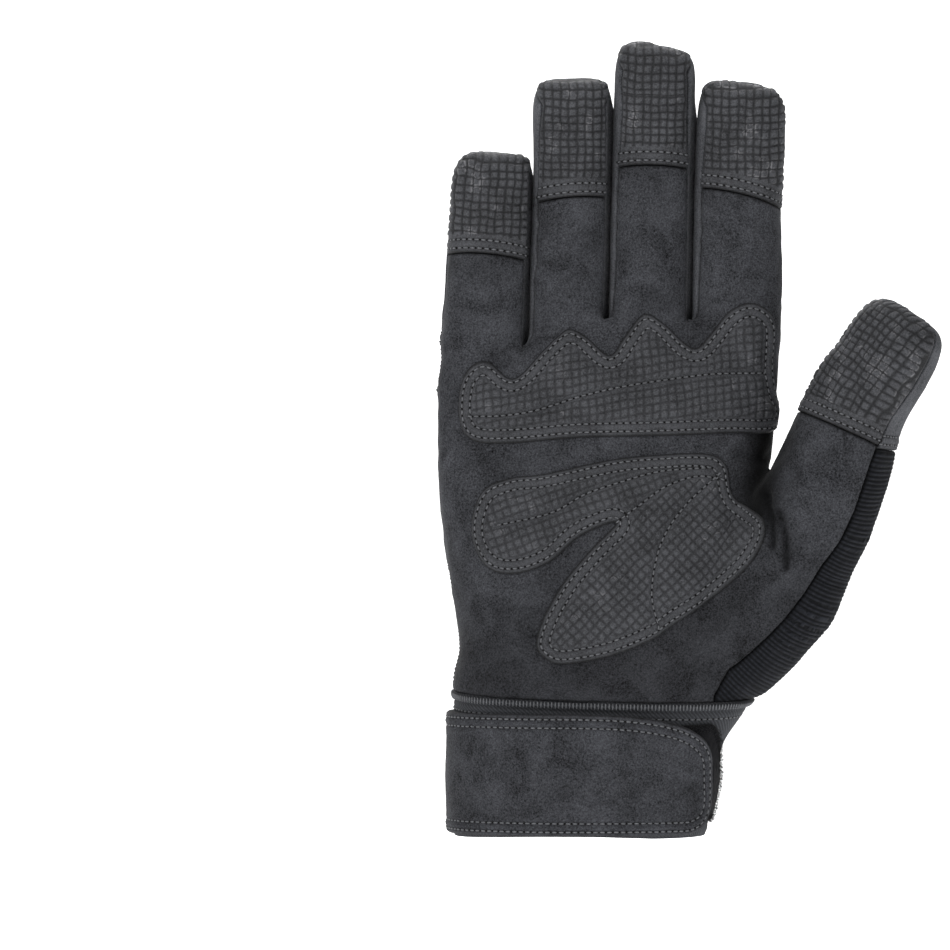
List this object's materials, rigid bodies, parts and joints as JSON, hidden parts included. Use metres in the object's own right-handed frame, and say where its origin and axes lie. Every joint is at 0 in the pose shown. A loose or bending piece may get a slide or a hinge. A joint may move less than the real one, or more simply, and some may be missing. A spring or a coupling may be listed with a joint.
{
  "type": "mechanic glove",
  "caption": "Work glove for the right hand, with suede palm, knitted back, padded palm, grip fingertips, elastic cuff and a wrist strap.",
  "frame": {"origin": "centre of the wrist opening, in the plane of the hem", "axes": "+Z from the wrist to the fingertips, -Y out of the palm, +X towards the thumb"},
  "size_m": [0.155, 0.0644, 0.2453],
  "materials": {
    "palm_suede": "napped synthetic suede, dark grey, palm side",
    "back_suede": "napped synthetic suede, dark grey, finger backs",
    "grip_suede": "suede with raised small squares, slightly glossier",
    "knit": "ribbed stretch knit, near black",
    "elastic": "woven elastic with a fine diagonal rib, dark grey",
    "strap_suede": "napped synthetic suede with a stitched border",
    "hook_tape": "black hook tape with short bristles"
  },
  "bodies": {
    "root": {"palm_panel": "palm_suede", "back_panel": "knit", "thumb_back_knit": "knit", "cheek_little_ring": "back_suede", "cheek_ring_middle": "back_suede", "cheek_middle_index": "back_suede", "little_back_cap": "back_suede", "ring_back_cap": "back_suede", "middle_back_cap": "back_suede", "index_back_cap": "back_suede", "thumb_back_cap": "back_suede", "little_grip_tip": "grip_suede", "ring_grip_tip": "grip_suede", "middle_grip_tip": "grip_suede", "index_grip_tip": "grip_suede", "thumb_grip_tip": "grip_suede", "knuckle_pad": "grip_suede", "heel_pad": "grip_suede", "cuff_elastic": "elastic", "wrist_strap": "strap_suede", "strap_hook_patch": "hook_tape"}
  },
  "joints": []
}
